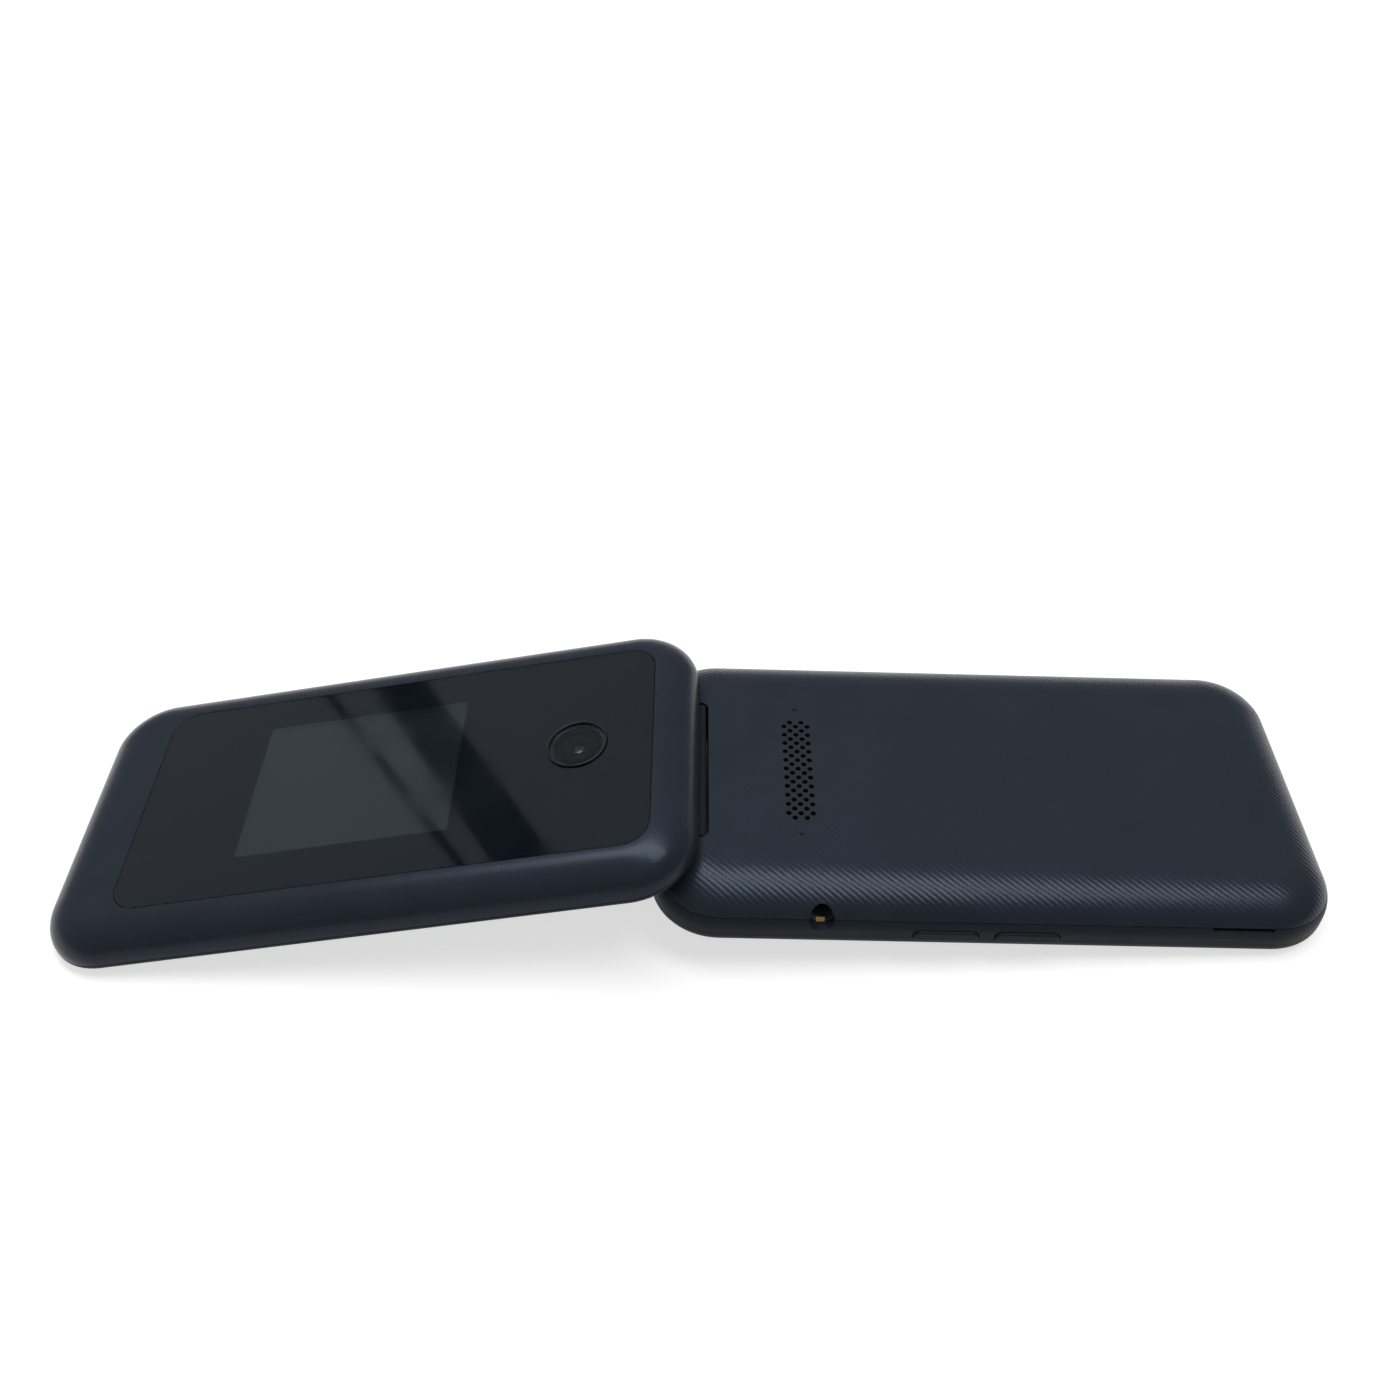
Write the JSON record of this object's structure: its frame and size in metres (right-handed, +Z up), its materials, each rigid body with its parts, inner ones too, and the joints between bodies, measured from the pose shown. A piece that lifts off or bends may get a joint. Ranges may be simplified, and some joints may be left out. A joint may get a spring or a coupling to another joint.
{
  "type": "flip phone",
  "caption": "Slim folding phone, open and face down, with a glass-fronted lid, camera, keypad, side keys, audio jack and removable rear cover.",
  "frame": {"origin": "on the surface that the phone lies on, under the middle of its length and width", "axes": "+X along the phone towards the base's free end, +Y along the hinge axis, away from the side with the audio jack, +Z up"},
  "size_m": [0.2034, 0.0566, 0.0228],
  "materials": {
    "case_plastic": "satin, dark blue-black",
    "key_plastic": "satin",
    "pane_glass": "polished",
    "black_film": "matt",
    "display": "gloss",
    "ring_metal": "dark",
    "black_plastic": "matt",
    "steel": "plain",
    "gold_contact": "plated",
    "board": "lacquered",
    "dome_film": "film",
    "battery_wrap": "film",
    "cap_rubber": "matt",
    "ribbon": "film",
    "bush_plastic": "plain"
  },
  "bodies": {
    "base": {"front_housing": "case_plastic", "chassis": "black_plastic", "base_screws": "steel", "audio_jack_socket": "black_plastic", "jack_contact": "gold_contact", "usb_socket": "steel", "microphone": "steel", "side_switches": "black_plastic", "battery": "battery_wrap", "contact_block": "black_plastic", "contact_springs": "gold_contact", "loudspeaker": "black_plastic", "vibration_motor": "steel", "sim_holder": "steel", "hinge_cartridge": "steel", "hinge_bush": "bush_plastic", "dome_sheet": "dome_film", "main_board": "board"},
    "rear_cover": {"rear_cover": "case_plastic", "grille_mesh": "black_film"},
    "lid": {"lid_outer_cover": "case_plastic", "lid_inner_cover": "case_plastic", "outer_glass": "pane_glass", "outer_glass_film": "black_film", "outer_display": "display", "camera_ring": "ring_metal", "camera_window": "pane_glass", "camera_module": "black_plastic", "camera_lens": "pane_glass", "lid_screws": "steel", "screw_caps": "cap_rubber", "inner_glass": "pane_glass", "inner_glass_film": "black_film", "inner_display": "display", "lid_board": "board", "earpiece": "black_plastic", "hinge_flex": "ribbon", "hinge_cam_shaft": "steel", "hinge_pin": "steel"},
    "key_1": {"key_1": "key_plastic"},
    "key_2": {"key_2": "key_plastic"},
    "key_3": {"key_3": "key_plastic"},
    "key_4": {"key_4": "key_plastic"},
    "key_5": {"key_5": "key_plastic"},
    "key_6": {"key_6": "key_plastic"},
    "key_7": {"key_7": "key_plastic"},
    "key_8": {"key_8": "key_plastic"},
    "key_9": {"key_9": "key_plastic"},
    "key_0": {"key_0": "key_plastic"},
    "key_star": {"key_star": "key_plastic"},
    "key_hash": {"key_hash": "key_plastic"},
    "soft_left": {"soft_left": "key_plastic"},
    "soft_right": {"soft_right": "key_plastic"},
    "call_key": {"call_key": "key_plastic"},
    "clear_key": {"clear_key": "key_plastic"},
    "end_key": {"end_key": "key_plastic"},
    "nav_ring": {"nav_ring": "key_plastic"},
    "ok_key": {"ok_key": "key_plastic"},
    "volume_up": {"volume_up": "key_plastic"},
    "volume_down": {"volume_down": "key_plastic"}
  },
  "joints": [
    {"name": "lid_hinge", "type": "hinge", "parent": "base", "child": "lid", "pos_m": [0.00003, 0.00017, 0.01123], "axis": [0, -1, 0], "range_deg": [0, 167]},
    {"name": "rear_cover_off", "type": "slide", "parent": "base", "child": "rear_cover", "axis": [0.8715, 0, 0.4904], "range_m": [0, 0.015]},
    {"name": "key_1_press", "type": "slide", "parent": "base", "child": "key_1", "axis": [0.0634, 0, 0.998], "range_m": [0, 0.00035], "stiffness_N_per_m": 4000},
    {"name": "key_2_press", "type": "slide", "parent": "base", "child": "key_2", "axis": [0.0634, 0, 0.998], "range_m": [0, 0.00035], "stiffness_N_per_m": 4000},
    {"name": "key_3_press", "type": "slide", "parent": "base", "child": "key_3", "axis": [0.0634, 0, 0.998], "range_m": [0, 0.00035], "stiffness_N_per_m": 4000},
    {"name": "key_4_press", "type": "slide", "parent": "base", "child": "key_4", "axis": [0.0634, 0, 0.998], "range_m": [0, 0.00035], "stiffness_N_per_m": 4000},
    {"name": "key_5_press", "type": "slide", "parent": "base", "child": "key_5", "axis": [0.0634, 0, 0.998], "range_m": [0, 0.00035], "stiffness_N_per_m": 4000},
    {"name": "key_6_press", "type": "slide", "parent": "base", "child": "key_6", "axis": [0.0634, 0, 0.998], "range_m": [0, 0.00035], "stiffness_N_per_m": 4000},
    {"name": "key_7_press", "type": "slide", "parent": "base", "child": "key_7", "axis": [0.0634, 0, 0.998], "range_m": [0, 0.00035], "stiffness_N_per_m": 4000},
    {"name": "key_8_press", "type": "slide", "parent": "base", "child": "key_8", "axis": [0.0634, 0, 0.998], "range_m": [0, 0.00035], "stiffness_N_per_m": 4000},
    {"name": "key_9_press", "type": "slide", "parent": "base", "child": "key_9", "axis": [0.0634, 0, 0.998], "range_m": [0, 0.00035], "stiffness_N_per_m": 4000},
    {"name": "key_0_press", "type": "slide", "parent": "base", "child": "key_0", "axis": [0.0634, 0, 0.998], "range_m": [0, 0.00035], "stiffness_N_per_m": 4000},
    {"name": "key_star_press", "type": "slide", "parent": "base", "child": "key_star", "axis": [0.0634, 0, 0.998], "range_m": [0, 0.00035], "stiffness_N_per_m": 4000},
    {"name": "key_hash_press", "type": "slide", "parent": "base", "child": "key_hash", "axis": [0.0634, 0, 0.998], "range_m": [0, 0.00035], "stiffness_N_per_m": 4000},
    {"name": "soft_left_press", "type": "slide", "parent": "base", "child": "soft_left", "axis": [0.0634, 0, 0.998], "range_m": [0, 0.00035], "stiffness_N_per_m": 4000},
    {"name": "soft_right_press", "type": "slide", "parent": "base", "child": "soft_right", "axis": [0.0634, 0, 0.998], "range_m": [0, 0.00035], "stiffness_N_per_m": 4000},
    {"name": "call_key_press", "type": "slide", "parent": "base", "child": "call_key", "axis": [0.0634, 0, 0.998], "range_m": [0, 0.00035], "stiffness_N_per_m": 4000},
    {"name": "clear_key_press", "type": "slide", "parent": "base", "child": "clear_key", "axis": [0.0634, 0, 0.998], "range_m": [0, 0.00035], "stiffness_N_per_m": 4000},
    {"name": "end_key_press", "type": "slide", "parent": "base", "child": "end_key", "axis": [0.0634, 0, 0.998], "range_m": [0, 0.00035], "stiffness_N_per_m": 4000},
    {"name": "nav_ring_press", "type": "slide", "parent": "base", "child": "nav_ring", "axis": [0.0634, 0, 0.998], "range_m": [0, 0.00035], "stiffness_N_per_m": 4000},
    {"name": "ok_key_press", "type": "slide", "parent": "base", "child": "ok_key", "axis": [0.0634, 0, 0.998], "range_m": [0, 0.00035], "stiffness_N_per_m": 4000},
    {"name": "volume_up_press", "type": "slide", "parent": "base", "child": "volume_up", "axis": [0, 1, 0], "range_m": [0, 0.0004], "stiffness_N_per_m": 4000},
    {"name": "volume_down_press", "type": "slide", "parent": "base", "child": "volume_down", "axis": [0, 1, 0], "range_m": [0, 0.0004], "stiffness_N_per_m": 4000}
  ]
}
